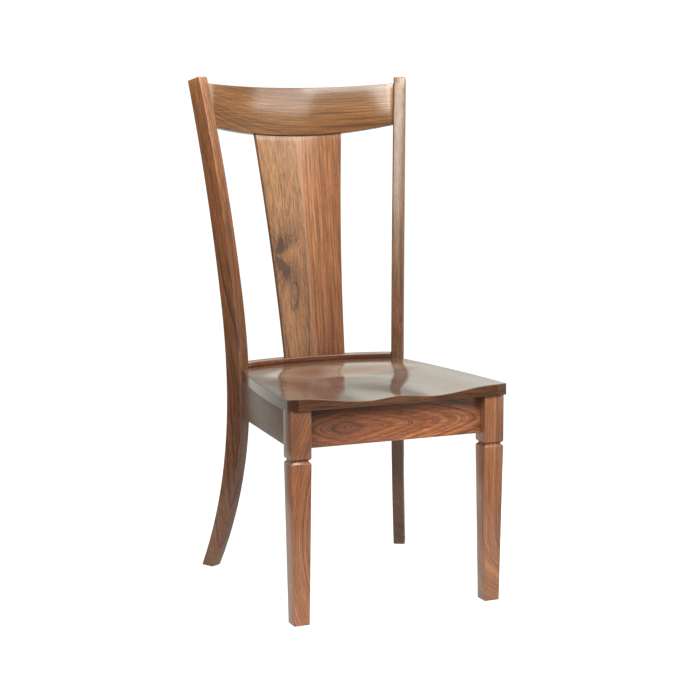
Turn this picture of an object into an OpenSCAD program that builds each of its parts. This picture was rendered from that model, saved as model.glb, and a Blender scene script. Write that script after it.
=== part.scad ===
// Side chair in walnut: scooped seat on a tapered-leg frame, with a curved and
// leaning back of two posts, a crest rail and a two-board splat.
// Millimetres, +Z up, the sitter faces -Y, origin on the floor under the middle.

/* [Seat] */
// Height of the seat's rim above the floor
seat_height = 457; // [420:1:500]
// Thickness of the seat boards
seat_thick = 23.6; // [20:0.2:30]
// Width of the seat across its front corners
seat_width = 481; // [450:1:520]
// How far the clipped front corners run along the front edge
corner_run = 22; // [10:1:35]
// How far the clipped front corners run back
corner_depth = 6; // [3:0.5:12]
// Outward bow of each side edge
side_bow = 8; // [2:0.5:16]
// Number of boards glued edge to edge
board_count = 5; // [3:1:6]
// Overhang of the seat behind the rear apron
rear_overhang = 3; // [1:0.5:10]

/* [Scoop] */
// Depth of the scooped seat at its two dips
scoop_depth = 13; // [6:0.5:16]
// Width of the scoop from rim to rim
scoop_width = 430; // [360:5:450]
// Distance from the scoop's rear rim back to the middle of the shoe rail
scoop_margin = 63; // [50:1:120]
// Length over which the scoop keeps its full width
scoop_straight = 240; // [160:5:280]
// Distance between the two dips at the front edge
dip_spacing = 146; // [110:2:180]
// Height of the ridge between the dips at the front edge
ridge_height = 5.6; // [2:0.2:9]
// Length over which the ridge fades away
ridge_length = 215; // [120:5:300]

/* [Front legs] */
// Distance from the seat's front corners in to the legs' centre lines
leg_inset = 28.25; // [26:0.25:40]
// Side of the square leg at the apron
leg_size = 42.8; // [36:0.2:48]
// Side of the square foot
leg_foot = 33.2; // [26:0.2:38]
// Setback of the leg behind the seat's front edge
leg_setback = 4.2; // [2:0.2:12]
// Height of the middle of the V-shaped ring groove
groove_level = 332.5; // [310:0.5:340]
// Height of the groove at the leg's faces
groove_height = 10; // [6:0.5:14]
// Depth of the groove
groove_depth = 5; // [2:0.5:8]

/* [Back posts] */
// Height of the posts' front top corners
back_height = 1084.5; // [1060:0.5:1120]
// Distance from the seat's widest line in to the posts' centre lines
post_inset = 49; // [40:0.5:56]
// Distance from the posts' centre lines back to the middle of the shoe rail
post_lead = 18.5; // [12:0.5:24]
// Turn of each post to face along the curved back
post_turn = 27.8; // [24:0.2:30]
// Width of a post across its front face
post_width = 27; // [24:0.5:32]
// Depth of a post at the seat
post_depth = 45.6; // [42:0.2:52]
// Depth of a post at the floor
post_foot_depth = 33; // [28:0.5:40]
// Depth of a post at its top
post_top_depth = 38; // [32:0.5:42]
// Height at which a post stands upright
knee_level = 400; // [380:1:420]
// Radius of the sweep below the knee
leg_radius = 925; // [850:5:1100]
// Radius of the bend above the knee
bend_radius = 1450; // [1300:10:1700]
// Height at which the bend eases into the long upper sweep
bend_level = 590; // [560:5:640]
// Radius of the long upper sweep
sweep_radius = 4200; // [3500:50:6000]

/* [Aprons] */
// Height of the front and rear aprons under the seat
apron_height = 79.2; // [60:0.2:90]
// Height of the side aprons under the seat
side_apron_height = 83; // [60:0.2:90]
// Thickness of the front and side aprons
apron_thick = 20; // [18:0.5:22]
// Thickness of the curved rear apron
rear_apron_thick = 22; // [18:0.5:24]
// Setback of the front apron behind the legs' front faces
front_apron_setback = 19; // [12:0.5:21]
// Setback of the side aprons inside the legs' outer faces
side_apron_setback = 14.8; // [12:0.2:18]
// Bare strip of the post's front face outside the side apron
side_apron_reveal = 3; // [1:0.5:4]

/* [Joints] */
// Thickness of the aprons' tenons
tenon_thick = 8; // [6:0.5:10]
// Length of the tenons
tenon_length = 15; // [10:0.5:17]
// Shoulder under and beside a tenon
tenon_shoulder = 10; // [6:0.5:14]
// Shoulder above the apron tenons
tenon_top_shoulder = 20; // [18:0.5:26]
// Clearance round a tenon or a screw
joint_gap = 0.2; // [0.1:0.05:0.4]

/* [Back] */
// Radius of the curved back, at the front face of the crest and shoe rails
back_radius = 500; // [470:5:560]
// Lean of the crest and splat
back_lean = 11; // [9:0.2:12]
// Distance from the seat's front edge back to the middle of the shoe rail
shoe_setback = 449; // [435:0.5:465]
// Height of the shoe rail above the seat
shoe_height = 11; // [9:0.5:16]
// Thickness of the shoe rail
shoe_thick = 26; // [23:0.5:30]
// Drop of the crest rail's top edge below the posts' top corners
crest_drop = 24.1; // [18:0.1:36]
// Height of the crest rail in the middle
crest_height = 108; // [95:1:120]
// Rise of the crest rail's lower edge at its ends
crest_rise = 17; // [3:0.5:24]
// Thickness of the crest rail
crest_thick = 20; // [18:0.5:24]
// Width of the splat at the crest rail
splat_top_width = 210; // [180:1:230]
// Width of the splat at the shoe rail
splat_bottom_width = 145; // [120:1:170]
// Hollow of the splat's side edges
splat_hollow = 4.2; // [1:0.2:8]
// Thickness of the splat
splat_thick = 11; // [8:0.5:12]
// Setback of the splat behind the crest rail's front face
splat_setback = 5; // [3:0.5:6]
// Length of the splat's upper tenon in the crest rail
splat_tongue = 16; // [10:1:24]
// Wood left under the splat in the shoe rail
shoe_floor = 3; // [1.5:0.5:5]

/* [Corner blocks] */
// Length of a block along each apron
block_leg = 60; // [50:1:75]
// Height of a block
block_height = 38; // [34:1:50]
// Air between a block and the leg or post in its corner
block_gap = 1.5; // [1:0.5:4]
// Drop of the corner screws below the seat
corner_screw_drop = 10; // [8:0.5:11]
// Length of the wood screws
screw_length = 50; // [46:1:54]
// Shank diameter of the screws
screw_shank = 4; // [3.5:0.1:4.5]
// Head diameter of the screws
screw_head = 8; // [7:0.5:9]
// Height of the countersunk heads
screw_head_height = 2.6; // [2:0.1:3.2]
// Distance of the seat screws from the block's corner, along the apron
seat_screw_run = 38; // [32:1:42]
// Distance of the seat screws from the apron's face
seat_screw_inset = 12; // [9:0.5:14]

/* [Hidden] */
$fn = 96;

WALNUT_LIGHT = "#a06f46";
WALNUT_MID = "#855434";
WALNUT_DARK = "#6b4029";
STEEL = "#a9adb0";

// Steps of the post's outline, and columns and rows of the scooped surface
post_steps = 24;
scoop_columns = 28;
board_rows = 5;
// Reach of cutting solids past what they cut
past = 10;
// Reach of the space between the posts, before and behind their front faces
reach_before = 80;
reach_behind = 260;
// Reach of the seat's rear notches, behind and outside the posts
notch_reach = 150;
// Length over which the side aprons are scribed to the posts' curved faces
apron_scribe = 4;

// The origin lies under the middle of the overall depth
leg_spread = seat_width - 2 * leg_inset;
post_spread = seat_width - 2 * post_inset;
crest_top = back_height - crest_drop;
post_setback = shoe_setback - post_lead;
scoop_length = shoe_setback - scoop_margin;
crest_front = [shoe_setback + (crest_top - seat_height) * tan(back_lean), crest_top];
overall_depth = crest_front.x + crest_thick * cos(back_lean);
seat_front = -overall_depth / 2;
seat_under = seat_height - seat_thick;

// Front leg and post places on the +X side
leg_x = leg_spread / 2;
leg_y = seat_front + leg_setback + leg_size / 2;
leg_rear = leg_y + leg_size / 2;
post_x = post_spread / 2;
post_y = seat_front + post_setback;
post_sweep = [sin(post_turn), cos(post_turn)];
post_out = [cos(post_turn), -sin(post_turn)];
post_front = [post_x, post_y] - post_sweep * post_depth / 2;
post_outer_corner = post_front + post_out * post_width / 2;
post_inner_corner = post_front - post_out * post_width / 2;

// The curved back turns about an axis in front of the shoe rail
back_axis = seat_front + shoe_setback - back_radius;
rear_apron_face = back_radius + (shoe_thick - rear_apron_thick) / 2 + 10;
seat_rear_radius = rear_apron_face + rear_apron_thick + rear_overhang;
seat_depth = shoe_setback - back_radius + seat_rear_radius;

// Side apron, +X side: outer face from the leg to the post
apron_under = seat_under - apron_height;
side_apron_under = seat_under - side_apron_height;
side_front = [leg_x + leg_size / 2 - side_apron_setback, leg_rear];
side_rear = post_outer_corner - post_out * side_apron_reveal;
side_along = (side_rear - side_front) / norm(side_rear - side_front);
side_in = [-side_along.y, side_along.x];
side_inner_front = side_front + [-1, 0] * apron_thick / -side_in.x;
side_inner_rear = side_rear + post_out * apron_thick / (post_out * side_in);
front_apron_face = leg_y - leg_size / 2 + front_apron_setback;
front_apron_inner = front_apron_face + apron_thick;

// The front tenon stops short of the side apron's tenon inside the leg
side_tenon_inner_x = side_inner_front.x + (apron_thick - tenon_thick) / 2;
front_tenon_length = min(tenon_length, side_tenon_inner_x - (leg_x - leg_size / 2) - 1);

// Corner of the front block, where the inner apron faces would meet
front_corner = side_inner_front + side_along * (front_apron_inner - leg_rear) / side_along.y;
leg_bite = front_corner.x - (leg_x - leg_size / 2) + leg_rear - front_apron_inner;
front_clip = leg_bite + block_gap * sqrt(2);

// Half width of the seat at a distance y behind its front edge
seat_side_length = post_outer_corner.y - seat_front - corner_depth;
function side_share(y) = (y - corner_depth) / seat_side_length;
function seat_half_width(y) =
    y < corner_depth
    ? seat_width / 2 - corner_run * (1 - y / corner_depth)
    : seat_width / 2
      + (post_outer_corner.x - seat_width / 2) * side_share(y)
      + 4 * side_bow * side_share(y) * (1 - side_share(y));

// Depth of the scoop: full between the dips, fading to the rim, with a ridge in front
function ease(t) = t <= 0 ? 1 : t >= 1 ? 0 : pow(cos(90 * t), 2);
dip_share = dip_spacing / scoop_width;
function rim_share(x, y) =
    norm([2 * x / scoop_width, max(0, y - scoop_straight) / (scoop_length - scoop_straight)]);
function scoop_at(x, y) =
    ease((rim_share(x, y) - dip_share) / (1 - dip_share))
    * (scoop_depth - ridge_height * ease(2 * abs(x) / dip_spacing) * ease(y / ridge_length));

// Line of the post's middle and its depth at a height z
bend_angle = asin((bend_level - knee_level) / bend_radius);
bend_offset = bend_radius * (1 - cos(bend_angle));
function sweep_angle(z) = asin(sin(bend_angle) + (z - bend_level) / sweep_radius);
function post_line(z) =
    z < knee_level ? leg_radius - sqrt(pow(leg_radius, 2) - pow(knee_level - z, 2))
    : z < bend_level ? bend_radius - sqrt(pow(bend_radius, 2) - pow(z - knee_level, 2))
    : bend_offset + sweep_radius * (cos(bend_angle) - cos(sweep_angle(z)));
function post_depth_at(z) =
    z < knee_level
    ? post_depth - (post_depth - post_foot_depth) * (1 - cos(90 * (1 - z / knee_level)))
    : post_depth - (post_depth - post_top_depth)
      * (1 - cos(90 * (z - knee_level) / (back_height - knee_level)));
post_back_height = back_height - post_top_depth * tan(sweep_angle(back_height));

// A shape and its mirror image on the -X side
module on_side(side) {
    if (side > 0) children();
    else mirror([1, 0, 0]) children();
}

// Frame of the leaning back: z up the lean, y through its thickness
module leaning() {
    translate([0, seat_front + shoe_setback, seat_height])
        rotate([-back_lean, 0, 0])
            children();
}

// Curved slab about the back's axis, between two radii and two heights
module curved_slab(inner, outer, low, high, axis) {
    translate([0, axis, low]) linear_extrude(high - low) difference() {
        circle(r = outer, $fn = 360);
        circle(r = inner, $fn = 360);
    }
}

// Space between the posts' inner faces, widened into the posts by a tenon's length
module between_posts(into = 0) {
    foot = post_inner_corner + post_out * into - post_sweep * reach_before;
    tip = post_inner_corner + post_out * into + post_sweep * reach_behind;
    linear_extrude(back_height + crest_height)
        polygon([foot, tip, [-tip.x, tip.y], [-foot.x, foot.y]]);
}

module post_blank() {
    front = [for (i = [0 : post_steps])
        let (z = i * back_height / post_steps) [post_line(z) - post_depth_at(z) / 2, z]];
    back = [for (i = [post_steps : -1 : 0])
        let (z = i * post_back_height / post_steps) [post_line(z) + post_depth_at(z) / 2, z]];
    translate([post_x, post_y, 0])
        rotate([90, 0, 90 - post_turn])
            linear_extrude(post_width, center = true)
                polygon(concat(front, back));
}

module post(side) {
    color(WALNUT_MID) on_side(side) difference() {
        post_blank();
        side_tenon(joint_gap);
        rear_apron_tenon(joint_gap);
        crest_tenon(joint_gap);
        corner_screw(rear_screw_from(), rear_screw_to, joint_gap / 2);
    }
}

// Square leg with the ring groove, as the common part of its two profiles
module leg_blank() {
    half = leg_size / 2;
    groove_half = groove_height / 2;
    profile = [
        [leg_foot / 2, 0],
        [half, groove_level - groove_half],
        [half - groove_depth, groove_level],
        [half, groove_level + groove_half],
        [half, seat_under]];
    outline = concat(profile, [for (i = [len(profile) - 1 : -1 : 0]) [-profile[i].x, profile[i].y]]);
    translate([leg_x, leg_y, 0]) intersection() {
        rotate([90, 0, 0]) linear_extrude(leg_size + past, center = true) polygon(outline);
        rotate([90, 0, 90]) linear_extrude(leg_size + past, center = true) polygon(outline);
    }
}

module leg(side) {
    color(WALNUT_MID) on_side(side) difference() {
        leg_blank();
        side_tenon(joint_gap);
        front_tenon(joint_gap);
        corner_screw(front_screw_from(), [leg_x, leg_y], joint_gap / 2);
    }
}

// Tenon heights shared by the four aprons
tenon_low = apron_under + tenon_shoulder;
tenon_high = seat_under - tenon_top_shoulder;

module front_tenon(gap = 0) {
    face = leg_x - leg_size / 2;
    translate([face - past, front_apron_face + (apron_thick - tenon_thick) / 2 - gap, tenon_low - gap])
        cube([past + front_tenon_length + gap, tenon_thick + 2 * gap, tenon_high - tenon_low + 2 * gap]);
}

module front_apron() {
    color(WALNUT_MID) {
        translate([-leg_x + leg_size / 2, front_apron_face, apron_under])
            cube([leg_spread - leg_size, apron_thick, apron_height]);
        front_tenon();
        mirror([1, 0, 0]) front_tenon();
    }
}

// Both tenons of a side apron, as one bar along its middle
module side_tenon(gap = 0) {
    inset = (apron_thick - tenon_thick) / 2;
    outer_front = side_front + side_in * (inset - gap) - side_along * (tenon_length + gap);
    outer_rear = side_rear + side_in * (inset - gap) + side_along * (tenon_length + gap);
    width = side_in * (tenon_thick + 2 * gap);
    translate([0, 0, tenon_low - gap])
        linear_extrude(tenon_high - tenon_low + 2 * gap)
            polygon([outer_front, outer_rear, outer_rear + width, outer_front + width]);
}

module side_apron(side) {
    reach = post_sweep * apron_scribe;
    color(WALNUT_LIGHT) on_side(side) {
        difference() {
            translate([0, 0, side_apron_under]) linear_extrude(side_apron_height)
                polygon([side_front, side_rear + reach, side_inner_rear + reach, side_inner_front]);
            post_blank();
        }
        side_tenon();
    }
}

module rear_apron_tenon(gap = 0) {
    inset = (rear_apron_thick - tenon_thick) / 2;
    intersection() {
        curved_slab(rear_apron_face + inset - gap, rear_apron_face + inset + tenon_thick + gap,
            tenon_low - gap, tenon_high + gap, back_axis);
        between_posts(tenon_length + gap);
    }
}

module rear_apron() {
    color(WALNUT_DARK) {
        intersection() {
            curved_slab(rear_apron_face, rear_apron_face + rear_apron_thick,
                apron_under, seat_under, back_axis);
            between_posts();
        }
        rear_apron_tenon();
    }
}

// Scooped plank between two distances behind the seat's front edge
module seat_plank(near, far) {
    first = near < corner_depth ? [near, corner_depth] : [near];
    last = first[len(first) - 1];
    rows = concat(first, [for (i = [1 : board_rows]) last + i * (far - last) / board_rows]);
    m = len(rows) - 1;
    n = scoop_columns;
    // Points of the top, then of the flat underside, row by row
    places = [for (y = rows) for (c = [0 : n]) [(2 * c / n - 1) * seat_half_width(y), y]];
    top = [for (p = places) [p.x, seat_front + p.y, seat_height - scoop_at(p.x, p.y)]];
    under = [for (p = places) [p.x, seat_front + p.y, seat_under]];
    base = len(places);
    function quad(a, b, c, d) = [[a, b, c], [a, c, d]];
    surfaces = [for (r = [0 : m - 1]) for (c = [0 : n - 1])
        let (a = r * (n + 1) + c, b = a + n + 1)
        for (face = concat(quad(a, b, b + 1, a + 1),
            quad(base + a, base + a + 1, base + b + 1, base + b))) face];
    ends = [for (c = [0 : n - 1])
        let (a = c, b = m * (n + 1) + c)
        for (face = concat(quad(a, a + 1, base + a + 1, base + a),
            quad(b + 1, b, base + b, base + b + 1))) face];
    sides = [for (r = [0 : m - 1])
        let (a = r * (n + 1), b = a + n)
        for (face = concat(quad(a, base + a, base + a + n + 1, a + n + 1),
            quad(b + n + 1, base + b + n + 1, base + b, b))) face];
    polyhedron(concat(top, under), concat(surfaces, ends, sides));
}

// Flat plank, for a board that lies behind the scoop
module flat_plank(near, far) {
    right = [for (i = [0 : board_rows])
        let (y = near + i * (far - near) / board_rows) [seat_half_width(y), seat_front + y]];
    left = [for (i = [board_rows : -1 : 0]) [-right[i].x, right[i].y]];
    translate([0, 0, seat_under]) linear_extrude(seat_thick) polygon(concat(right, left));
}

// What lies outside the posts, where the seat's rear corners are notched
module outside_post() {
    back = [post_x, post_y] + post_sweep * notch_reach;
    translate([0, 0, seat_under - past]) linear_extrude(seat_thick + 2 * past)
        polygon([post_outer_corner, [post_x, post_y], back, back + post_out * notch_reach,
            post_outer_corner + post_out * notch_reach]);
}

// Whether a seat screw lies in the board between two distances
function takes(place, near, far) =
    near < place.y - seat_front + screw_head && far > place.y - seat_front - screw_head;

module seat_board(index) {
    near = (index - 1) * seat_depth / board_count;
    far = index * seat_depth / board_count;
    color(index % 2 == 0 ? WALNUT_MID : WALNUT_LIGHT) difference() {
        intersection() {
            if (near < scoop_length) seat_plank(near, far);
            else flat_plank(near, far);
            if (index == board_count) translate([0, back_axis, seat_under - past])
                cylinder(r = seat_rear_radius, h = seat_thick + 2 * past, $fn = 360);
        }
        for (side = [-1, 1]) on_side(side) {
            if (far > post_outer_corner.y - seat_front - past) {
                post_blank();
                outside_post();
            }
            for (place = [front_seat_screw(), rear_seat_screw()])
                if (takes(place, near, far)) seat_screw(place, joint_gap / 2);
        }
    }
}

module back_shoe_rail() {
    color(WALNUT_MID) difference() {
        intersection() {
            curved_slab(back_radius, back_radius + shoe_thick, seat_height,
                seat_height + shoe_height, back_axis);
            between_posts();
        }
        for (side = [-1, 1]) on_side(side) post_blank();
        splat(joint_gap);
    }
}

// Crest rail blank in the leaning frame: straight top edge, curved lower edge
module crest_blank(inset = 0, drop = 0) {
    top = (crest_top - seat_height) / cos(back_lean) - drop;
    half_span = post_x + 40;
    lower_radius = (pow(half_span, 2) + pow(crest_rise, 2)) / (2 * crest_rise);
    lower_edge = (crest_top - seat_height) / cos(back_lean) - crest_height + drop;
    leaning() intersection() {
        curved_slab(back_radius + inset, back_radius + crest_thick - inset,
            lower_edge - past, top, -back_radius);
        translate([0, back_radius / 2, 0]) rotate([90, 0, 0]) linear_extrude(2 * back_radius)
            intersection() {
                translate([-2 * half_span, lower_edge]) square([4 * half_span, top - lower_edge]);
                translate([0, lower_edge + lower_radius]) circle(r = lower_radius, $fn = 720);
            }
    }
}

module crest_tenon(gap = 0) {
    intersection() {
        crest_blank((crest_thick - tenon_thick) / 2 - gap, tenon_shoulder - gap);
        between_posts(tenon_length + gap);
    }
}

module crest_rail() {
    color(WALNUT_MID) {
        difference() {
            intersection() {
                crest_blank();
                between_posts();
            }
            splat(joint_gap);
        }
        crest_tenon();
    }
}

// Half width of the splat at a height along the lean
splat_foot_level = shoe_height / cos(back_lean);
splat_head_level = (crest_top - seat_height) / cos(back_lean) - crest_height;
function splat_half_width(level) =
    let (t = (level - splat_foot_level) / (splat_head_level - splat_foot_level))
    splat_bottom_width / 2 + t * (splat_top_width - splat_bottom_width) / 2
    - 4 * splat_hollow * t * (1 - t);

// Whole splat with its tenons: a curved slab cut to the outline of its face
module splat(gap = 0) {
    steps = 14;
    low = shoe_floor / cos(back_lean) + (splat_setback + splat_thick) * tan(back_lean) - gap;
    high = splat_head_level + splat_tongue + gap;
    levels = [for (i = [0 : steps]) low + i * (high - low) / steps];
    right = [for (level = levels) [splat_half_width(level) + gap, level]];
    left = [for (i = [steps : -1 : 0]) [-right[i].x, right[i].y]];
    leaning() intersection() {
        curved_slab(back_radius + splat_setback - gap, back_radius + splat_setback + splat_thick + gap,
            low, high, -back_radius);
        rotate([90, 0, 0]) linear_extrude(4 * splat_top_width, center = true)
            polygon(concat(right, left));
    }
}

module splat_board(side) {
    color(side < 0 ? WALNUT_LIGHT : WALNUT_MID) intersection() {
        splat();
        translate([side > 0 ? 0 : -splat_top_width, seat_front, seat_height])
            cube([splat_top_width, overall_depth, back_height - seat_height]);
    }
}

// Wood screw with a countersunk head, pointing up; with a gap it is its own bore
module screw(gap = 0) {
    head = screw_head / 2 + gap;
    shank = screw_shank / 2 + gap;
    rotate_extrude()
        polygon([[0, 0], [head, 0], [shank, screw_head_height],
            [shank, screw_length - screw_shank], [0, screw_length]]);
    if (gap > 0) translate([0, 0, -past]) cylinder(r = head, h = past);
}

// Corner screws run level from the block's open face into the leg or post
module corner_screw(from, to, gap = 0) {
    way = to - from;
    translate([from.x, from.y, seat_under - corner_screw_drop])
        rotate([0, 90, atan2(way.y, way.x)])
            translate([0, 0, head_sink])
                screw(gap);
}

module seat_screw(place, gap = 0) {
    translate([place.x, place.y, seat_under - block_height]) screw(gap);
}

// Sinking of the corner screws' heads below the block's open face
head_sink = 0.4;

// Outlines of the blocks on the +X side
front_block = [
    front_corner + [-front_clip, 0],
    front_corner + [-block_leg, 0],
    front_corner + side_along * block_leg,
    front_corner + side_along * front_clip];
rear_clip = 4 * block_gap;
function on_rear_apron(x) = [x, back_axis + sqrt(pow(rear_apron_face, 2) - pow(x, 2))];
rear_block = [
    side_inner_rear - side_along * rear_clip,
    side_inner_rear - side_along * block_leg,
    on_rear_apron(post_inner_corner.x - block_leg),
    on_rear_apron(post_inner_corner.x - rear_clip)];
function front_screw_from() = (front_block[1] + front_block[2]) / 2;
function rear_screw_from() = (rear_block[1] + rear_block[2]) / 2;
function front_seat_screw() = front_corner + [-seat_screw_run, seat_screw_inset];
function rear_seat_screw() =
    side_inner_rear - side_along * seat_screw_run + side_in * seat_screw_inset;
// The rear screws enter the post's inner face between the two aprons
rear_screw_entry = 7;
rear_screw_to = post_inner_corner + post_sweep * rear_screw_entry;

module block(outline) {
    translate([0, 0, seat_under - block_height]) linear_extrude(block_height) polygon(outline);
}

module corner_block_front(side) {
    color(WALNUT_LIGHT) on_side(side) difference() {
        block(front_block);
        corner_screw(front_screw_from(), [leg_x, leg_y], joint_gap / 2);
        seat_screw(front_seat_screw(), joint_gap / 2);
    }
}

module corner_block_rear(side) {
    bulge = [0, block_gap * 2];
    color(WALNUT_LIGHT) on_side(side) difference() {
        intersection() {
            block([rear_block[0], rear_block[1], rear_block[2] + bulge, rear_block[3] + bulge]);
            translate([0, back_axis, 0]) cylinder(r = rear_apron_face, h = seat_height, $fn = 360);
        }
        corner_screw(rear_screw_from(), rear_screw_to, joint_gap / 2);
        seat_screw(rear_seat_screw(), joint_gap / 2);
    }
}

module corner_screws() {
    color(STEEL) for (side = [-1, 1]) on_side(side) {
        corner_screw(front_screw_from(), [leg_x, leg_y]);
        corner_screw(rear_screw_from(), rear_screw_to);
    }
}

module seat_screws() {
    color(STEEL) for (side = [-1, 1]) on_side(side) {
        seat_screw(front_seat_screw());
        seat_screw(rear_seat_screw());
    }
}

post(-1);  // rear_post_left
post(1);  // rear_post_right
leg(-1);  // front_leg_left
leg(1);  // front_leg_right
crest_rail();
splat_board(-1);  // splat_board_left
splat_board(1);  // splat_board_right
back_shoe_rail();
seat_board(1);  // seat_board_1
seat_board(2);  // seat_board_2
seat_board(3);  // seat_board_3
seat_board(4);  // seat_board_4
seat_board(5);  // seat_board_5
front_apron();
side_apron(-1);  // side_apron_left
side_apron(1);  // side_apron_right
rear_apron();
corner_block_front(-1);  // corner_block_front_left
corner_block_front(1);  // corner_block_front_right
corner_block_rear(-1);  // corner_block_rear_left
corner_block_rear(1);  // corner_block_rear_right
corner_screws();
seat_screws();
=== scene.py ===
import math

import bpy
from mathutils import Matrix, Vector


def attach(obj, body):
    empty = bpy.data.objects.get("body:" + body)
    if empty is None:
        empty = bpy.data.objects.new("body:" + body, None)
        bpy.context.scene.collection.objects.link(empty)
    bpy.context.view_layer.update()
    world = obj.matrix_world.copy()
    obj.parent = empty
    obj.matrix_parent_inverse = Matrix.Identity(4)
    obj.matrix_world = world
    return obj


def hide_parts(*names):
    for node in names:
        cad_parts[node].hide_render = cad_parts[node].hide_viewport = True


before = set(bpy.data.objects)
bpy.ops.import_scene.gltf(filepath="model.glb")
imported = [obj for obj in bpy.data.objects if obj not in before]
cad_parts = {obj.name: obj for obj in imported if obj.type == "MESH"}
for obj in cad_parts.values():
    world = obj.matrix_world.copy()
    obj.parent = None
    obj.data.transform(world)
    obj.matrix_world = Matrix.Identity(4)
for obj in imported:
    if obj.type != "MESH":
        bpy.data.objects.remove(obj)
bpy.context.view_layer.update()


# Rear posts. Each is one stick of walnut that serves as rear leg and back post, sawn to a
# sweeping curve, tapered at foot and top, turned to face along the curved back. The top is cut
# square to the lean. All arrises are eased by hand and the wood has a satin clear finish.

seat_height = 0.457
back_lean = math.radians(11)
back_height = 0.6034
back_setback = 0.449
back_radius = 0.500
crest_thickness = 0.020
seat_front = -(back_setback + back_height * math.tan(back_lean)
               + crest_thickness * math.cos(back_lean)) / 2
post_turn = math.radians(27.8)
post_place = Vector((0.1915, seat_front + 0.4305, 0))
post_out = Vector((math.cos(post_turn), -math.sin(post_turn), 0))
post_sweep = Vector((math.sin(post_turn), math.cos(post_turn), 0))
post_width = 0.027
post_top = 1.0845
post_uncut_top = 1.092
post_steps = 36
knee_height = 0.400
knee_depth = 0.0456
foot_thinning = 0.0126
top_thinning = 0.0076
leg_sweep_radius = 0.925
bend_radius = 1.450
bend_end = 0.590
top_sweep_radius = 4.200


def sweep_angle(z):
    """Lean of the post's middle line at a height above the bend."""
    return math.asin((bend_end - knee_height) / bend_radius + (z - bend_end) / top_sweep_radius)


def post_middle(z):
    """How far back the post's middle line lies at a height: three arcs, one after the other."""
    if z < knee_height:
        return leg_sweep_radius - math.sqrt(leg_sweep_radius ** 2 - (knee_height - z) ** 2)
    if z < bend_end:
        return bend_radius - math.sqrt(bend_radius ** 2 - (z - knee_height) ** 2)
    bend = math.cos(sweep_angle(bend_end))
    return bend_radius * (1 - bend) + top_sweep_radius * (bend - math.cos(sweep_angle(z)))


def post_depth(z):
    """The post's depth at a height: greatest at the knee, thinned to the foot and the top."""
    if z < knee_height:
        return knee_depth - foot_thinning * (
            1 - math.cos(math.pi / 2 * (1 - z / knee_height)))
    return knee_depth - top_thinning * (
        1 - math.cos(math.pi / 2 * (z - knee_height) / (post_top - knee_height)))


def select_only(piece):
    bpy.ops.object.select_all(action="DESELECT")
    piece.select_set(True)
    bpy.context.view_layer.objects.active = piece


def start_face(width, depth, place):
    """A flat face of wood, selected in edit mode, ready to be extruded."""
    bpy.ops.object.select_all(action="DESELECT")
    bpy.ops.mesh.primitive_plane_add(size=1, location=place)
    bpy.context.object.scale = (width, depth, 1)
    bpy.ops.object.transform_apply(location=True, rotation=True, scale=True)
    bpy.ops.object.mode_set(mode="EDIT")
    bpy.ops.mesh.select_all(action="SELECT")
    return bpy.context.object


def extrude_up(height):
    bpy.ops.mesh.extrude_region_move(TRANSFORM_OT_translate={"value": (0, 0, height)})


def cut(point, normal):
    """Saw off what lies on the normal's side of a plane and close the cut."""
    bpy.ops.object.mode_set(mode="EDIT")
    bpy.ops.mesh.select_all(action="SELECT")
    bpy.ops.mesh.bisect(plane_co=point, plane_no=normal, use_fill=True, clear_outer=True)


def ease_edges(piece, width, angle=35):
    """Outward faces, rounded arrises and smooth shading."""
    bpy.ops.object.mode_set(mode="EDIT")
    bpy.ops.mesh.select_all(action="SELECT")
    bpy.ops.mesh.remove_doubles(threshold=0.00001)
    bpy.ops.mesh.normals_make_consistent(inside=False)
    bpy.ops.object.mode_set(mode="OBJECT")
    bevel = piece.modifiers.new("eased_arrises", "BEVEL")
    bevel.width = width
    bevel.segments = 3
    bevel.limit_method = "ANGLE"
    bevel.angle_limit = math.radians(angle)
    bpy.ops.object.modifier_apply(modifier=bevel.name)
    bpy.ops.object.shade_smooth_by_angle(angle=math.radians(angle))


def fit(piece, name, material, slot, *nodes):
    """Name a finished piece, give it its wood, and let it stand for its CAD solids."""
    piece.name = name
    piece.data.name = name
    piece.data.materials.clear()
    piece.data.materials.append(material)
    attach(piece, "root")
    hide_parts(*nodes)


def mirrored_copy(piece):
    """The same piece for the other side of the chair."""
    select_only(piece)
    bpy.ops.object.duplicate()
    copy = bpy.context.object
    bpy.ops.object.mode_set(mode="EDIT")
    bpy.ops.mesh.select_all(action="SELECT")
    bpy.ops.transform.resize(value=(-1, 1, 1), center_override=(0, 0, 0))
    bpy.ops.mesh.normals_make_consistent(inside=False)
    bpy.ops.object.mode_set(mode="OBJECT")
    return copy


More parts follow.
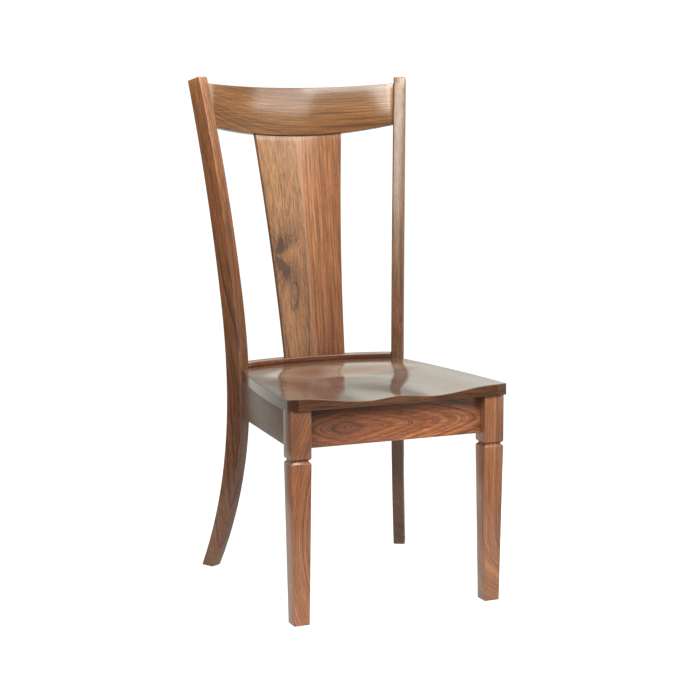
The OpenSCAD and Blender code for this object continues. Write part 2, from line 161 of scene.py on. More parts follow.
def walnut(name, heart, turn, light, middle, dark, ring=0.011, lines=0.32, sway=0.010,
           bow=(0.0, 0.0, 0.0), eye=0.0, knot=None, lobes=None, shade=((0, 0, 0), 0.0),
           boards=None, wrap=None, end=(0.6, 0.95), seed=0.0, roughness=0.40,
           coat_roughness=0.16):
    """Lacquered walnut: growth rings about the trunk's heart, fibres, pores and a clear coat.

    heart, turn: a point of the trunk's axis and the turn of that axis in degrees
    light, middle, dark: the wood's three tones
    ring, lines: width of a growth ring, and how dark the line at its end is
    sway: how far the rings wander
    bow: how fast the trunk bends above and below a level, and that level along the trunk
    eye: how fast the rings close along the trunk, to a long eye
    knot: its centre, its squash along X, Y and Z, its size, and how far it pushes the rings
    lobes: number, turn and strength of the dark lobes round the knot
    shade: painted shade mixed with the wood's own drift in tone: direction in which the colour
    darkens, per metre, and what is added everywhere
    boards: where the first of a row of boards starts along Y and how wide one is
    wrap: centre, lean and radius of a bent board, whose grain follows the bend
    end: how far a face must turn across the trunk to begin and to finish as end grain
    """
    material = bpy.data.materials.new(name)
    material.use_nodes = True
    tree = material.node_tree
    shader = tree.nodes["Principled BSDF"]

    def add(kind, **settings):
        made = tree.nodes.new(kind)
        for key, value in settings.items():
            setattr(made, key, value)
        return made

    def put(socket, value):
        if isinstance(value, bpy.types.NodeSocket):
            tree.links.new(value, socket)
        elif value is not None:
            socket.default_value = value

    def maths(operation, first, second=None, third=None, clamp=False):
        made = add("ShaderNodeMath", operation=operation, use_clamp=clamp)
        for socket, value in zip(made.inputs, (first, second, third)):
            put(socket, value)
        return made.outputs[0]

    def vectors(operation, first, second=None, scale=None):
        made = add("ShaderNodeVectorMath", operation=operation)
        put(made.inputs[0], first)
        put(made.inputs[1], second)
        put(made.inputs[3], scale)
        return made.outputs["Value" if operation in ("LENGTH", "DOT_PRODUCT") else "Vector"]

    def noise(vector, scale, detail, roughness=0.5, dimensions="3D"):
        made = add("ShaderNodeTexNoise", noise_dimensions=dimensions)
        put(made.inputs["Scale"], scale)
        put(made.inputs["Detail"], detail)
        put(made.inputs["Roughness"], roughness)
        put(made.inputs["W" if dimensions == "1D" else "Vector"], vector)
        return made

    def ramp(value, *stops):
        made = add("ShaderNodeValToRGB")
        put(made.inputs["Fac"], value)
        elements = made.color_ramp.elements
        for index, (place, tone) in enumerate(stops):
            element = elements[index] if index < 2 else elements.new(place)
            element.position = place
            element.color = (*tone, 1) if isinstance(tone, tuple) else (tone, tone, tone, 1)
        return made.outputs["Color"]

    def blend(kind, amount, first, second):
        made = add("ShaderNodeMix", data_type="RGBA", blend_type=kind)
        put(made.inputs[0], amount)
        put(made.inputs[6], (*first, 1) if isinstance(first, tuple) else first)
        put(made.inputs[7], (*second, 1) if isinstance(second, tuple) else second)
        return made.outputs[2]

    def parted(vector):
        made = add("ShaderNodeSeparateXYZ")
        put(made.inputs[0], vector)
        return made.outputs

    def jostled(vector, cloud, amount):
        about_zero = vectors("SUBTRACT", cloud, (0.5, 0.5, 0.5))
        return vectors("ADD", vector, vectors("SCALE", about_zero, None, amount))

    # Place in the trunk that the board was sawn from, its axis along Z through the heart
    coordinates = add("ShaderNodeTexCoord")
    place = coordinates.outputs["Object"]
    tone = 0.0
    if boards:
        start, width = boards
        along = maths("SUBTRACT", parted(place)["Y"], start)
        board = maths("FLOOR", maths("DIVIDE", along, width))
        chance = add("ShaderNodeTexWhiteNoise", noise_dimensions="1D")
        put(chance.inputs["W"], maths("ADD", board, seed + 0.37))
        moved = vectors("SUBTRACT", chance.outputs["Color"], (0.5, 0.5, 0.5))
        tone = maths("MULTIPLY", maths("SUBTRACT", chance.outputs["Value"], 0.5), 0.22)
        place = vectors("ADD", place, vectors("MULTIPLY", moved, (1.6, 0.12, 0.10)))
    if wrap:
        about, lean, bend = wrap
        upright = add("ShaderNodeVectorRotate", rotation_type="X_AXIS")
        put(upright.inputs["Vector"], place)
        put(upright.inputs["Center"], about)
        put(upright.inputs["Angle"], lean)
        upright = vectors("SUBTRACT", upright.outputs["Vector"], about)
        split = parted(upright)
        from_centre = vectors("LENGTH", vectors("MULTIPLY", upright, (1, 1, 0)))
        flat = add("ShaderNodeCombineXYZ")
        put(flat.inputs["X"], maths("MULTIPLY", maths("ARCTAN2", split["X"], split["Y"]), bend))
        put(flat.inputs["Y"], maths("SUBTRACT", from_centre, bend))
        put(flat.inputs["Z"], split["Z"])
        place = flat.outputs["Vector"]
    trunk = add("ShaderNodeMapping", vector_type="TEXTURE")
    put(trunk.inputs["Location"], heart)
    put(trunk.inputs["Rotation"], [math.radians(angle) for angle in turn])
    put(trunk.inputs["Vector"], place)
    trunk = trunk.outputs["Vector"]

    # Distance from the heart, bent by the tree's growth and swollen round a knot
    height = parted(trunk)["Z"]
    bow_above, bow_below, bow_level = bow
    up = maths("MAXIMUM", maths("SUBTRACT", height, bow_level), 0)
    down = maths("MAXIMUM", maths("SUBTRACT", bow_level, height), 0)
    curve = maths("ADD", maths("MULTIPLY", maths("MULTIPLY", up, up), -bow_above),
                  maths("MULTIPLY", maths("MULTIPLY", down, down), -bow_below))
    bending = add("ShaderNodeCombineXYZ")
    put(bending.inputs["X"], curve)
    slow = noise(vectors("MULTIPLY", trunk, (1, 1, 0.35)), 4 + seed * 0.01, 2).outputs["Color"]
    ripple = noise(vectors("MULTIPLY", trunk, (1, 1, 0.22)), 34, 4, 0.55).outputs["Color"]
    bent = vectors("ADD", trunk, bending.outputs["Vector"])
    bent = jostled(jostled(bent, slow, sway * 2), ripple, 0.0055)
    radius = vectors("LENGTH", vectors("MULTIPLY", bent, (1, 1, 0)))
    radius = maths("ADD", radius, maths("MULTIPLY", maths("ABSOLUTE", height), eye))
    if knot:
        centre, squash, size, push = knot
        away = vectors("MULTIPLY", vectors("SUBTRACT", coordinates.outputs["Object"], centre),
                       squash)
        away = jostled(away, ripple, size * 0.5)
        reach = maths("DIVIDE", vectors("LENGTH", away), size)
        swell = maths("POWER", 2.718, maths("MULTIPLY", maths("MULTIPLY", reach, reach), -1))
        radius = maths("ADD", radius, maths("MULTIPLY", swell, push))

    # Growth rings: uneven pale wood that ends in a thin dark line, in broad bands of colour
    uneven = noise(maths("ADD", radius, seed), 60, 3, 0.6, "1D").outputs["Fac"]
    count = maths("ADD", maths("DIVIDE", radius, ring), maths("MULTIPLY", uneven, 3))
    profile = ((0, 0.1), (0.5, 0.2), (0.82, 0.55), (0.93, 1.0), (1.0, 0.1))
    rings = ramp(maths("FRACT", count), *profile)
    fine = ramp(maths("FRACT", maths("MULTIPLY", count, 3.31)), *profile)
    bands = noise(maths("ADD", radius, seed + 7), 17, 3, 0.55, "1D").outputs["Fac"]
    cloud = noise(vectors("MULTIPLY", trunk, (1, 1, 0.10)), 24, 4).outputs["Fac"]
    patchy = noise(vectors("MULTIPLY", trunk, (1, 1, 0.3)), 11, 2).outputs["Fac"]
    depth = maths("MULTIPLY", rings, maths("MULTIPLY", patchy, lines * 2))
    depth = maths("MULTIPLY_ADD", fine, lines * 0.55, depth)
    depth = maths("MULTIPLY_ADD", bands, 0.95, depth)
    depth = maths("MULTIPLY_ADD", cloud, 0.55, depth)
    # Painted shade mixed with the wood's own drift in tone: the colour darkens along the shade
    # direction, as low on the posts and where the apron and legs meet the seat
    depth = maths("ADD", depth, vectors("DOT_PRODUCT", coordinates.outputs["Object"], shade[0]))
    depth = maths("ADD", depth, shade[1] - 0.45)
    if boards:
        depth = maths("ADD", depth, tone)
    if lobes:
        number, turned, strength = lobes
        split = parted(away)
        around = maths("ARCTAN2", split["Z"], split["X"])
        spoke = add("ShaderNodeCombineXYZ")
        put(spoke.inputs["X"], maths("MULTIPLY", around, 4))
        put(spoke.inputs["Y"], maths("MULTIPLY", reach, 0.7))
        feather = noise(spoke.outputs["Vector"], 2.5, 4).outputs["Fac"]
        lobe = maths("COSINE", maths("MULTIPLY", maths("SUBTRACT", around, turned), number))
        lobe = maths("MULTIPLY_ADD", feather, 1.3, maths("MULTIPLY_ADD", lobe, 0.6, -0.28),
                     clamp=True)
        lobe = maths("MULTIPLY", lobe, maths("POWER", swell, 0.5))
        lobe = maths("MULTIPLY", lobe, maths("MULTIPLY_ADD", reach, 3.0, -0.1, clamp=True))
        depth = maths("MULTIPLY_ADD", lobe, strength, depth)
    colour = ramp(depth, (0.12, light), (0.5, middle), (0.95, dark))

    # Fibres and open pores run with the trunk; cut across, the end grain drinks more finish
    streaks = noise(vectors("MULTIPLY", bent, (1, 1, 0.022)), 430, 4, 0.65).outputs["Fac"]
    colour = blend("MULTIPLY", 1.0, colour, ramp(streaks, (0.36, 0.62), (0.64, 1.34)))
    fibres = noise(vectors("MULTIPLY", trunk, (1, 1, 0.022)), 620, 5, 0.65).outputs["Fac"]
    colour = blend("MULTIPLY", 0.75, colour, ramp(fibres, (0.32, 0.62), (0.68, 1.25)))
    pores = ramp(noise(vectors("MULTIPLY", trunk, (1, 1, 0.05)), 1500, 1).outputs["Fac"],
                 (0.60, 0.0), (0.70, 1.0))
    colour = blend("MULTIPLY", maths("MULTIPLY", pores, 0.6), colour, (0.30, 0.20, 0.15))
    axis = add("ShaderNodeVectorRotate", rotation_type="EULER_XYZ")
    put(axis.inputs["Vector"], (0, 0, 1))
    put(axis.inputs["Rotation"], [math.radians(angle) for angle in turn])
    across = vectors("DOT_PRODUCT", coordinates.outputs["Normal"], axis.outputs["Vector"])
    sawn = add("ShaderNodeMapRange", interpolation_type="SMOOTHSTEP")
    put(sawn.inputs["Value"], maths("ABSOLUTE", across))
    put(sawn.inputs["From Min"], end[0])
    put(sawn.inputs["From Max"], end[1])
    colour = blend("MULTIPLY", maths("MULTIPLY", sawn.outputs[0], 0.8), colour, (0.42, 0.36, 0.34))
    # Painted highlight: where the mesh is pointy, on the eased arrises, the colour is screened
    # lighter, as if the edges caught the light
    painted_edge_highlight = add("ShaderNodeMapRange")
    put(painted_edge_highlight.inputs["Value"], add("ShaderNodeNewGeometry").outputs["Pointiness"])
    put(painted_edge_highlight.inputs["From Min"], 0.52)
    put(painted_edge_highlight.inputs["From Max"], 0.62)
    colour = blend("SCREEN", maths("MULTIPLY", painted_edge_highlight.outputs[0], 0.16), colour, (0.9, 0.62, 0.42))
    put(shader.inputs["Base Color"], colour)

    put(shader.inputs["Roughness"], maths("MULTIPLY_ADD", fibres, 0.16, roughness - 0.08))
    shader.inputs["Specular IOR Level"].default_value = 0.1
    shader.inputs["Coat Weight"].default_value = 1.0
    shader.inputs["Coat Roughness"].default_value = coat_roughness
    bump = add("ShaderNodeBump")
    bump.inputs["Strength"].default_value = 0.30
    bump.inputs["Distance"].default_value = 0.0003
    put(bump.inputs["Height"], maths("SUBTRACT", maths("MULTIPLY", fibres, 0.5), pores))
    put(shader.inputs["Normal"], bump.outputs["Normal"])
    grain = add("ShaderNodeBump")
    grain.inputs["Strength"].default_value = 0.12
    grain.inputs["Distance"].default_value = 0.0004
    put(grain.inputs["Height"], streaks)
    put(shader.inputs["Coat Normal"], grain.outputs["Normal"])
    return material


post = start_face(post_width, post_depth(0), (0, post_middle(0), 0))
post_stations = [post_uncut_top * step / post_steps for step in range(post_steps + 1)]
for low, high in zip(post_stations, post_stations[1:]):
    rise = (0, post_middle(high) - post_middle(low), high - low)
    bpy.ops.mesh.extrude_region_move(TRANSFORM_OT_translate={"value": rise})
    bpy.ops.transform.resize(value=(1, post_depth(high) / post_depth(low), 1),
                             center_override=(0, post_middle(high), high))
top_lean = sweep_angle(post_top)
cut((0, post_middle(post_top) - post_depth(post_top) / 2, post_top),
    (0, math.sin(top_lean), math.cos(top_lean)))
bpy.ops.object.mode_set(mode="OBJECT")
post.rotation_euler.z = -post_turn
post.location = post_place
bpy.ops.object.transform_apply(location=True, rotation=True, scale=True)
ease_edges(post, 0.0032)
post_left = mirrored_copy(post)

fit(post, "post_right", walnut(
    "walnut_post_right", (0.30, -0.05, 0.4), (-9, 2, 0), (0.215, 0.120, 0.060),
    (0.125, 0.054, 0.025), (0.055, 0.020, 0.010), lines=0.22, bow=(0, -0.8, 0.1),
    shade=((0, 0, -0.3), 0.26), coat_roughness=0.24),
    "post_walnut", "rear_post_right")
fit(post_left, "post_left", walnut(
    "walnut_post_left", (-0.36, -0.05, 0.4), (-9, -2, 0), (0.34, 0.147, 0.055),
    (0.195, 0.072, 0.027), (0.060, 0.021, 0.011), ring=0.008, lines=0.38, bow=(0, 0.5, 0.1),
    shade=((0, -3, -0.35), 0.84), seed=2),
    "post_walnut", "rear_post_left")


# Front legs. Square walnut legs that taper to the foot, with one V-shaped groove cut right
# round them below the apron by tilting the saw. Tenoned to the aprons and screwed from the
# corner blocks.

seat_thickness = 0.0236
seat_under = seat_height - seat_thickness
leg_size = 0.0428
leg_foot = 0.0332
leg_across = 0.21225
leg_setback = 0.0042
leg_place = Vector((leg_across, seat_front + leg_setback + leg_size / 2, 0))
groove_level = 0.3325
groove_depth = 0.005

leg = start_face(leg_foot, leg_foot, leg_place)
leg_size_now, leg_level = leg_foot, 0
for level, size in ((groove_level - groove_depth, leg_size),
                    (groove_level, leg_size - 2 * groove_depth),
                    (groove_level + groove_depth, leg_size),
                    (seat_under, leg_size)):
    extrude_up(level - leg_level)
    bpy.ops.transform.resize(value=(size / leg_size_now, size / leg_size_now, 1),
                             center_override=leg_place + Vector((0, 0, level)))
    leg_size_now, leg_level = size, level
bpy.ops.object.mode_set(mode="OBJECT")
ease_edges(leg, 0.0013)
leg_left = mirrored_copy(leg)

fit(leg, "leg_right", walnut(
    "walnut_leg_right", (0.42, -0.40, 0.0), (0, 0, 0), (0.39, 0.152, 0.058), (0.23, 0.082, 0.033),
    (0.085, 0.027, 0.014), ring=0.0048, lines=0.52, sway=0.004, bow=(0.0, 6.0, 0.15),
    shade=((0, 0, -0.05), 0.06)),
    "leg_walnut", "front_leg_right")
fit(leg_left, "leg_left", walnut(
    "walnut_leg_left", (0.02, -0.50, 0.0), (0, 0, 0), (0.35, 0.132, 0.047), (0.195, 0.063, 0.023),
    (0.060, 0.017, 0.009), ring=0.0048, lines=0.58, sway=0.004, bow=(1.0, 1.3, 0.17),
    shade=((0, 0, 0.7), -0.12)),
    "leg_walnut", "front_leg_left")


# Front apron. A flat walnut board on edge between the front legs, set back from their faces,
# with its tenons hidden in the legs. Sawn through the heart, so the figure is a long eye.

apron_thickness = 0.020
apron_low = seat_under - 0.0792
apron_top = seat_under - 0.0006
apron_arris = 0.0012
front_apron_face = leg_place.y - leg_size / 2 + 0.019

apron = start_face(2 * leg_across - leg_size, apron_thickness,
                   (0, front_apron_face + apron_thickness / 2, apron_low))
extrude_up(apron_top - apron_low)
bpy.ops.object.mode_set(mode="OBJECT")
ease_edges(apron, apron_arris)
fit(apron, "front_apron_board", walnut(
    "walnut_front_apron", (-0.112, front_apron_face + 0.006, 0.389), (0, 90, -4),
    (0.62, 0.228, 0.062), (0.225, 0.062, 0.024), (0.060, 0.016, 0.010), ring=0.0085,
    lines=0.50, eye=0.22, sway=0.005, knot=((-0.112, 0, 0.389), (1, 0, 1.9), 0.034, -0.008),
    shade=((-0.85, 0, 2.8), -1.02)),
    "front_apron_walnut", "front_apron")


# Side aprons. Plain boards on edge from the front legs to the rear posts, set in from the
# legs' outer faces and scribed to the front faces of the posts.

side_apron_low = seat_under - 0.083
side_inset_front = 0.0148
side_inset_rear = 0.003
post_outer = post_place - post_sweep * (knee_depth / 2) + post_out * post_width / 2
post_inner = post_place - post_sweep * (knee_depth / 2) - post_out * post_width / 2
side_front = Vector((leg_place.x + leg_size / 2 - side_inset_front,
                     leg_place.y + leg_size / 2, 0))
side_rear = post_outer - post_out * side_inset_rear
side_along = (side_rear - side_front).normalized()
side_in = Vector((-side_along.y, side_along.x, 0))
side_inner_front = side_front - Vector((apron_thickness / -side_in.x, 0, 0))
side_inner_rear = side_rear + post_out * apron_thickness / post_out.dot(side_in)
into_post = post_sweep * 0.003


def start_outline(corners, level):
    """A flat face with these corners, selected in edit mode, ready to be extruded."""
    bpy.ops.object.select_all(action="DESELECT")
    bpy.ops.mesh.primitive_circle_add(vertices=len(corners), radius=0.01, fill_type="NGON")
    piece = bpy.context.object
    for vertex, corner in zip(piece.data.vertices, corners):
        vertex.co = (corner[0], corner[1], level)
    bpy.ops.object.mode_set(mode="EDIT")
    bpy.ops.mesh.select_all(action="SELECT")
    return piece


side_apron = start_outline(
    (side_front, side_rear + into_post, side_inner_rear + into_post, side_inner_front),
    side_apron_low)
extrude_up(apron_top - side_apron_low)
bpy.ops.object.mode_set(mode="OBJECT")
ease_edges(side_apron, apron_arris)
side_apron_left = mirrored_copy(side_apron)
side_tones = (0.17, 0.080, 0.038), (0.10, 0.042, 0.020), (0.04, 0.016, 0.009)
fit(side_apron, "side_apron_board_right", walnut(
    "walnut_side_apron_right", (0.30, 0, 0.45), (86, 0, 8), *side_tones, coat_roughness=0.3),
    "side_apron_walnut", "side_apron_right")
fit(side_apron_left, "side_apron_board_left", walnut(
    "walnut_side_apron_left", (-0.29, 0, 0.36), (86, 0, -8), *side_tones, coat_roughness=0.3),
    "side_apron_walnut", "side_apron_left")


# Rear apron. A walnut board bent to the curve of the back, between the posts' inner faces. Of
# the same plain stock as the side aprons.

back_axis = seat_front + back_setback - back_radius
rear_apron_face = 0.512
rear_apron_thickness = 0.022


def bent_rail(inner, outer, low, high, centre, steps=48):
    """A rail of rectangular section swept round the curved back, both ends running wild."""
    reach = math.radians(32)
    rail = start_face(outer - inner, high - low, (0, 0, 0))
    bpy.ops.object.mode_set(mode="OBJECT")
    rail.rotation_euler = (math.radians(90), 0, 0)
    rail.location = ((inner + outer) / 2, 0, (low + high) / 2)
    bpy.ops.object.transform_apply(location=True, rotation=True, scale=True)
    bpy.ops.object.mode_set(mode="EDIT")
    bpy.ops.mesh.select_all(action="SELECT")
    bpy.ops.transform.rotate(value=-(math.pi / 2 - reach), orient_axis="Z",
                             center_override=(0, 0, 0))
    bpy.ops.transform.translate(value=centre)
    bpy.ops.mesh.spin(steps=steps, angle=-2 * reach, center=centre, axis=(0, 0, 1))
    bpy.ops.object.mode_set(mode="OBJECT")
    return rail


def cut_between_posts(rail):
    """Both ends cut to lie flat against the posts' inner faces."""
    cut(post_inner, post_out)
    cut((-post_inner.x, post_inner.y, 0), (-post_out.x, post_out.y, 0))
    bpy.ops.object.mode_set(mode="OBJECT")


rear_apron = bent_rail(rear_apron_face, rear_apron_face + rear_apron_thickness, apron_low,
                       apron_top, (0, back_axis, 0))
cut_between_posts(rear_apron)
ease_edges(rear_apron, apron_arris)
fit(rear_apron, "rear_apron_board", walnut(
    "walnut_rear_apron", (0, 0.35, 0.50), (4, 88, 0), *side_tones),
    "side_apron_walnut", "rear_apron")


# Seat. Five walnut boards glued edge to edge, the top scooped to two dips with a ridge between
# them at the front, the front corners clipped and the rear corners notched round the posts.

seat_rear_radius = rear_apron_face + 0.025
seat_front_half = 0.2405
clip_along = 0.006
clip_across = 0.022
side_length = post_outer.y - seat_front - clip_along
side_bulge = 0.032
scoop_depth = 0.013
scoop_half_width = 0.215
scoop_middle = 0.240
scoop_rear = 0.146
dip_share = scoop_rear / (2 * scoop_half_width)
ridge_height = 0.0056
ridge_half_width = 0.073
ridge_length = 0.215


def seat_half_width(y):
    """Half the seat's width at a distance behind its front edge."""
    if y < clip_along:
        return seat_front_half - clip_across * (1 - y / clip_along)
    share = (y - clip_along) / side_length
    return (seat_front_half + (post_outer.x - seat_front_half) * share
            + side_bulge * share * (1 - share))


def fade(share):
    """From one to nothing, with a soft start and a soft end."""
    return math.cos(math.pi / 2 * min(1, max(0, share))) ** 2


def scoop(x, y):
    """Depth of the seat's hollow: two dips, with a ridge between them at the front."""
    rim = math.hypot(x / scoop_half_width, max(0, y - scoop_middle) / scoop_rear)
    ridge = ridge_height * fade(abs(x) / ridge_half_width) * fade(y / ridge_length)
    return fade((rim - dip_share) / (1 - dip_share)) * (scoop_depth - ridge)


side_rows = 48
notch_rows = 2
rear_rows = 8
seat_rows = [0, clip_along]
seat_rows += [clip_along + side_length * step / side_rows for step in range(1, side_rows + 1)]
seat_rows += [post_outer.y - seat_front + (post_inner.y - post_outer.y) * step / notch_rows
              for step in range(1, notch_rows + 1)]
row_count = len(seat_rows) + rear_rows - 1
bpy.ops.object.select_all(action="DESELECT")
bpy.ops.mesh.primitive_grid_add(x_subdivisions=88, y_subdivisions=row_count, size=2)
seat = bpy.context.object
for vertex in seat.data.vertices:
    across = vertex.co.x
    row = round((vertex.co.y + 1) / 2 * row_count)
    if row < len(seat_rows):
        y = seat_rows[row]
        if row < 2 + side_rows:
            half = seat_half_width(y)
        else:
            half = post_outer.x - (y + seat_front - post_outer.y) / math.tan(post_turn)
        vertex.co = (across * half, seat_front + y, 0)
    else:
        share = (row - len(seat_rows) + 1) / rear_rows
        half = post_inner.x
        for attempt in range(20):
            arc = back_axis + math.sqrt(seat_rear_radius ** 2 - half ** 2)
            end = (1 - share) * post_inner.y + share * arc
            half = post_inner.x + (end - post_inner.y) * math.tan(post_turn)
        arc = back_axis + math.sqrt(seat_rear_radius ** 2 - (across * half) ** 2)
        vertex.co = (across * half, (1 - share) * post_inner.y + share * arc, 0)
    vertex.co.z = seat_height - scoop(vertex.co.x, vertex.co.y - seat_front)
bpy.ops.object.mode_set(mode="EDIT")
bpy.ops.mesh.select_all(action="SELECT")
extrude_up(-seat_thickness)
bpy.ops.transform.resize(value=(1, 1, 0), center_override=(0, 0, seat_under))
bpy.ops.object.mode_set(mode="OBJECT")
ease_edges(seat, 0.0024, 14)
fit(seat, "seat", walnut(
    "walnut_seat", (0, -0.1, 0.62), (0, 90, 2), (0.15, 0.070, 0.033), (0.080, 0.033, 0.017),
    (0.033, 0.013, 0.008), boards=(seat_front, 0.0972), end=(0.17, 0.25), roughness=0.30,
    coat_roughness=0.11),
    "seat_walnut", "seat_board_1", "seat_board_2", "seat_board_3", "seat_board_4", "seat_board_5")


# Shoe rail. A low curved rail on the rear of the seat that takes the foot of the splat, of dark
# red-brown walnut with well rounded arrises.

shoe_height = 0.011
shoe_depth = 0.026
shoe = bent_rail(back_radius, back_radius + shoe_depth, seat_height - 0.0002,
                 seat_height + shoe_height, (0, back_axis, 0))
cut_between_posts(shoe)
ease_edges(shoe, 0.0025)
fit(shoe, "shoe_rail", walnut(
    "walnut_shoe", (0, 0.2, 0.40), (0, 88, 0), (0.17, 0.052, 0.022), (0.085, 0.025, 0.012),
    (0.025, 0.008, 0.005), shade=((0.9, 0, 0), -0.06), coat_roughness=0.2),
    "shoe_walnut", "back_shoe_rail")


# Splat. Two thin boards bent to the curve of the back and glued edge to edge, a light one on
# the left and a red one on the right, widening from the shoe rail to the crest rail.

crest_height = 0.108
crest_head = back_height / math.cos(back_lean)
crest_foot = crest_head - crest_height
splat_foot = shoe_height / math.cos(back_lean)
splat_foot_half = 0.0725
splat_widening = 0.0325
splat_waist = 0.0168
splat_front_radius = 0.505
splat_rear_radius = 0.516


def splat_half_width(level):
    """Half the splat's width at a height along the back, a little waisted between its ends."""
    share = (level - splat_foot) / (crest_foot - splat_foot)
    return splat_foot_half + share * splat_widening - splat_waist * share * (1 - share)


def lean_back(piece):
    """Tip a piece made upright back to the lean of the chair's back."""
    select_only(piece)
    piece.rotation_euler = (-back_lean, 0, 0)
    piece.location = (0, seat_front + back_setback, seat_height)
    bpy.ops.object.transform_apply(location=True, rotation=True, scale=True)


bpy.ops.object.select_all(action="DESELECT")
bpy.ops.mesh.primitive_grid_add(x_subdivisions=24, y_subdivisions=28, size=2)
splat = bpy.context.object
splat_low, splat_high = 0.008, crest_foot + 0.006
for vertex in splat.data.vertices:
    level = splat_low + (vertex.co.y + 1) / 2 * (splat_high - splat_low)
    angle = math.asin(vertex.co.x * splat_half_width(level) / splat_rear_radius)
    vertex.co = (splat_rear_radius * math.sin(angle),
                 splat_rear_radius * math.cos(angle) - back_radius, level)
bpy.ops.object.mode_set(mode="EDIT")
bpy.ops.mesh.select_all(action="SELECT")
bpy.ops.mesh.extrude_region_move()
splat_thinning = splat_front_radius / splat_rear_radius
bpy.ops.transform.resize(value=(splat_thinning, splat_thinning, 1),
                         center_override=(0, -back_radius, 0))
bpy.ops.object.mode_set(mode="OBJECT")
lean_back(splat)
ease_edges(splat, 0.0018)
bpy.ops.object.duplicate()
splat_right = bpy.context.object
cut((0, 0, 0), (-1, 0, 0))
bpy.ops.object.mode_set(mode="OBJECT")
select_only(splat)
cut((0, 0, 0), (1, 0, 0))
bpy.ops.object.mode_set(mode="OBJECT")
splat_right.select_set(True)
bpy.ops.object.shade_smooth_by_angle(angle=math.radians(35))
fit(splat, "splat_left", walnut(
    "walnut_splat_left", (-0.040, 0.212, 0.46), (-8, -1, 0), (0.32, 0.165, 0.076),
    (0.215, 0.101, 0.046), (0.070, 0.034, 0.021), ring=0.009, lines=0.30, seed=3,
    shade=((0, 0, -0.8), 0.67),
    knot=((-0.0786, 0, 0.689), (1, 0, 0.85), 0.042, 0.040), lobes=(4.0, 0.80, 0.80)),
    "splat_light_walnut", "splat_board_left")
fit(splat_right, "splat_right", walnut(
    "walnut_splat_right", (0.40, 0.12, 0.5), (-11, 1, 0), (0.40, 0.200, 0.098),
    (0.245, 0.098, 0.040), (0.10, 0.035, 0.018), ring=0.008, lines=0.20, sway=0.004,
    shade=((3.2, 0, -0.8), 0.62)),
    "splat_red_walnut", "splat_board_right")


# Crest rail. A deep rail sawn to the curve of the back, with a straight top and a lower edge
# that rises a little towards the posts.

crest_half = 0.2315
crest_rise = 0.017
crest_arc = (crest_half ** 2 + crest_rise ** 2) / (2 * crest_rise)
crest = bent_rail(back_radius, back_radius + crest_thickness, crest_foot, crest_head,
                  (0, -back_radius, 0), 64)
for vertex in crest.data.vertices:
    if vertex.co.z < crest_foot + 0.001:
        vertex.co.z = crest_foot + crest_arc - math.sqrt(crest_arc ** 2 - vertex.co.x ** 2)
lean_back(crest)
cut_between_posts(crest)
ease_edges(crest, 0.0025)
fit(crest, "crest", walnut(
    "walnut_crest", (0.0, -0.062, 0.49), (0, 90, 0), (0.26, 0.122, 0.043), (0.155, 0.066, 0.023),
    (0.070, 0.028, 0.012), ring=0.007, lines=0.38, sway=0.005, seed=5,
    wrap=((0, seat_front + back_setback - back_radius * math.cos(back_lean),
           seat_height + back_radius * math.sin(back_lean)), back_lean, back_radius),
    knot=((-0.26, 0, 0), (1, 0, 0), 0.13, -0.035)),
    "crest_walnut", "crest_rail")


# Corner blocks. Offcuts screwed across the corners inside the aprons, and their screws. Their
# shapes are the solids' own, so only their wood and steel are made here.

block_wood = walnut("block_walnut", (0.1, 0.2, 0.5), (0, 40, 20), (0.33, 0.20, 0.12),
                    (0.22, 0.12, 0.07), (0.12, 0.06, 0.035), roughness=0.5, coat_roughness=0.4)
steel = bpy.data.materials.new("zinc_plated_steel")
steel.use_nodes = True
steel_shader = steel.node_tree.nodes["Principled BSDF"]
steel_shader.inputs["Metallic"].default_value = 1
steel_shader.inputs["Base Color"].default_value = (0.55, 0.56, 0.57, 1)
steel_shader.inputs["Roughness"].default_value = 0.35
for name in ("corner_block_front_left", "corner_block_front_right", "corner_block_rear_left",
             "corner_block_rear_right"):
    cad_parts[name].data.materials.clear()
    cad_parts[name].data.materials.append(block_wood)
for name in ("corner_screws", "seat_screws"):
    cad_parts[name].data.materials.clear()
    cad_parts[name].data.materials.append(steel)


# Studio. A plain pale floor that looks darker in the lacquer than to the eye, a surround that is
# white to the eye and shaded in what it throws on the wood, large soft lights and the camera.

bpy.ops.object.select_all(action="DESELECT")
bpy.ops.mesh.primitive_circle_add(vertices=96, radius=1.1, fill_type="NGON",
                                  location=(0.1, 0.1, 0))
floor = bpy.context.object
floor.name = "floor"
floor_paint = bpy.data.materials.new("pale_floor")
floor_paint.use_nodes = True
floor_shader = floor_paint.node_tree.nodes["Principled BSDF"]
floor_shader.inputs["Base Color"].default_value = (0.20, 0.20, 0.20, 1)
floor_shader.inputs["Roughness"].default_value = 0.8
floor_shader.inputs["Specular IOR Level"].default_value = 0.1
floor_shader.inputs["Emission Color"].default_value = (1, 1, 1, 1)
looking = floor_paint.node_tree.nodes.new("ShaderNodeLightPath")
glow = floor_paint.node_tree.nodes.new("ShaderNodeMath")
glow.operation = "MULTIPLY_ADD"
glow_seen, glow_mirrored = 0.95, 0.38
glow.inputs[1].default_value = glow_mirrored - glow_seen
glow.inputs[2].default_value = glow_seen
floor_paint.node_tree.links.new(looking.outputs["Is Glossy Ray"], glow.inputs[0])
floor_paint.node_tree.links.new(glow.outputs[0], floor_shader.inputs["Emission Strength"])
floor.data.materials.append(floor_paint)

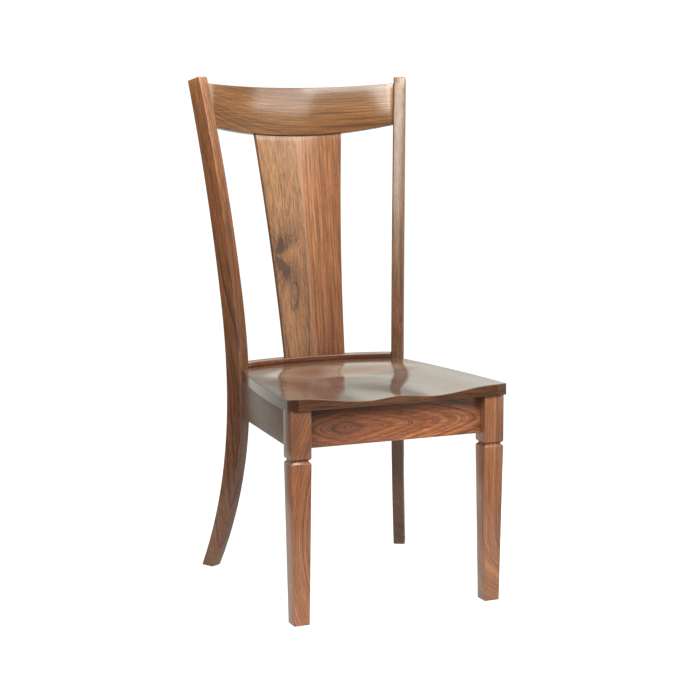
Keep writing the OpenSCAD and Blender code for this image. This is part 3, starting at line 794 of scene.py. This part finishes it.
scene = bpy.context.scene
world = bpy.data.worlds.new("studio")
world.use_nodes = True
sky = world.node_tree
direction = sky.nodes.new("ShaderNodeTexCoord")
rearward = sky.nodes.new("ShaderNodeVectorMath")
rearward.operation = "DOT_PRODUCT"
rearward.inputs[1].default_value = (0.433, 0.25, 0.5)
sky.links.new(direction.outputs["Generated"], rearward.inputs[0])
offset = sky.nodes.new("ShaderNodeMath")
offset.inputs[1].default_value = 0.45
sky.links.new(rearward.outputs["Value"], offset.inputs[0])
surround = sky.nodes.new("ShaderNodeValToRGB")
stops = surround.color_ramp.elements
stops[0].position, stops[0].color = 0.35, (0.13, 0.13, 0.13, 1)
stops[1].position, stops[1].color = 0.45, (0.34, 0.34, 0.31, 1)
for position, level in ((0.525, 0.68), (0.59, 0.85), (0.80, 0.36), (0.90, 0.25), (0.921, 0.44),
                        (0.94, 0.85), (0.96, 1.15)):
    stop = stops.new(position)
    stop.color = (level * 0.99, level, level * 0.90, 1)
sky.links.new(offset.outputs[0], surround.inputs["Fac"])
seen = sky.nodes.new("ShaderNodeLightPath")
backdrop = sky.nodes.new("ShaderNodeMix")
backdrop.data_type = "RGBA"
backdrop.inputs[7].default_value = (1.1, 1.1, 1.1, 1)
sky.links.new(seen.outputs["Is Camera Ray"], backdrop.inputs[0])
sky.links.new(surround.outputs["Color"], backdrop.inputs[6])
sky.links.new(backdrop.outputs[2], sky.nodes["Background"].inputs["Color"])
sky.nodes["Background"].inputs["Strength"].default_value = 1
scene.world = world
scene.view_settings.view_transform = "Standard"


def soft_light(name, place, target, width, height, power):
    """A warm white rectangle of light, out of the camera's sight, aimed at a target."""
    lamp = bpy.data.lights.new(name, "AREA")
    lamp.shape = "RECTANGLE"
    lamp.size = width
    lamp.size_y = height
    lamp.energy = power
    lamp.color = (1, 0.97, 0.90)
    lamp_object = bpy.data.objects.new(name, lamp)
    lamp_object.location = place
    way = Vector(target) - Vector(place)
    lamp_object.rotation_euler = way.to_track_quat("-Z", "Y").to_euler()
    lamp_object.visible_camera = False
    scene.collection.objects.link(lamp_object)


soft_light("key", (-1.78, -2.63, 2.64), (0, 0.1, 0.9), 1.85, 1.5, 80)
soft_light("fill", (1.78, -2.65, 2.80), (0, 0.1, 0.9), 1.9, 1.25, 36)
soft_light("high", (-0.10, -2.30, 3.85), (0, 0, 0.5), 2.8, 1.8, 200)
soft_light("side", (-2.2, -0.6, 0.35), (-0.2, 0, 0.25), 1.6, 0.6, 4)
soft_light("top", (0.3, 0.5, 3.4), (0, 0, 0.5), 2.5, 2.5, 12)
soft_light("back", (0.9, 1.9, 4.0), (0, 0.1, 0.5), 2.4, 1.4, 45)

camera_data = bpy.data.cameras.new("camera")
camera_data.lens = 86.04
camera_data.sensor_width = 36
camera = bpy.data.objects.new("camera", camera_data)
camera.matrix_world = (
    Matrix.Translation((-1.3862, -3.2639, 1.0226))
    @ Matrix.Rotation(math.radians(-23.24), 4, "Z")
    @ Matrix.Rotation(math.radians(81.65), 4, "X")
    @ Matrix.Rotation(math.radians(-0.26), 4, "Z"))
scene.collection.objects.link(camera)
scene.camera = camera
